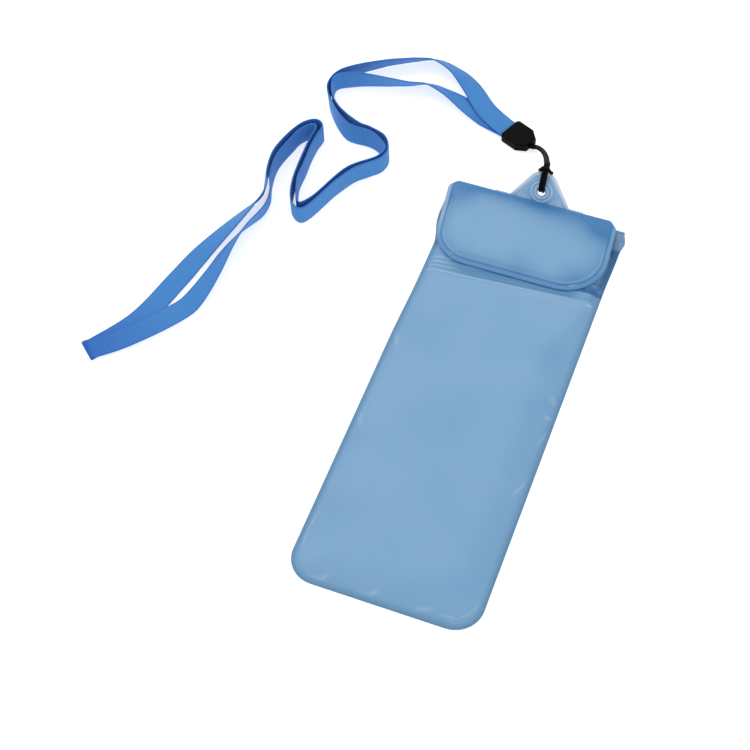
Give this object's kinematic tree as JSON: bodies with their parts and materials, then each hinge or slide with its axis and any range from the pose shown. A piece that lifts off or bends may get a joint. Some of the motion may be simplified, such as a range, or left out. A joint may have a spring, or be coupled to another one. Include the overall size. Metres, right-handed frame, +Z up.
{
  "type": "waterproof phone pouch",
  "caption": "Flat waterproof pouch for a phone, of soft blue film, with a press-to-close zip under a fold-over flap, a clear hanging tab and a flat ribbon lanyard.",
  "frame": {"origin": "on the floor under the middle of the pouch's box, the lanyard left out", "axes": "+X across the pouch, +Y along it from the closed end to the hanging tab, +Z up out of the front film"},
  "size_m": [0.2573, 0.3554, 0.0223],
  "materials": {
    "film": "soft blue translucent film with a low gloss",
    "zip": "clear pale blue moulded strip",
    "closure": "woven hook and loop tape",
    "tab": "clear pale moulded plastic",
    "cord": "black braided cord",
    "clamp": "black moulded plastic",
    "ribbon": "blue ribbed ribbon"
  },
  "bodies": {
    "root": {"back_film": "film", "front_film": "film", "flap_lining": "film", "zip_groove_strip": "zip", "zip_rib_strip": "zip", "hook_strip": "closure", "loop_strip": "closure", "hang_tab": "tab", "loop_cord": "cord", "clamp_upper": "clamp", "clamp_lower": "clamp", "lanyard_ribbon": "ribbon"}
  },
  "joints": []
}
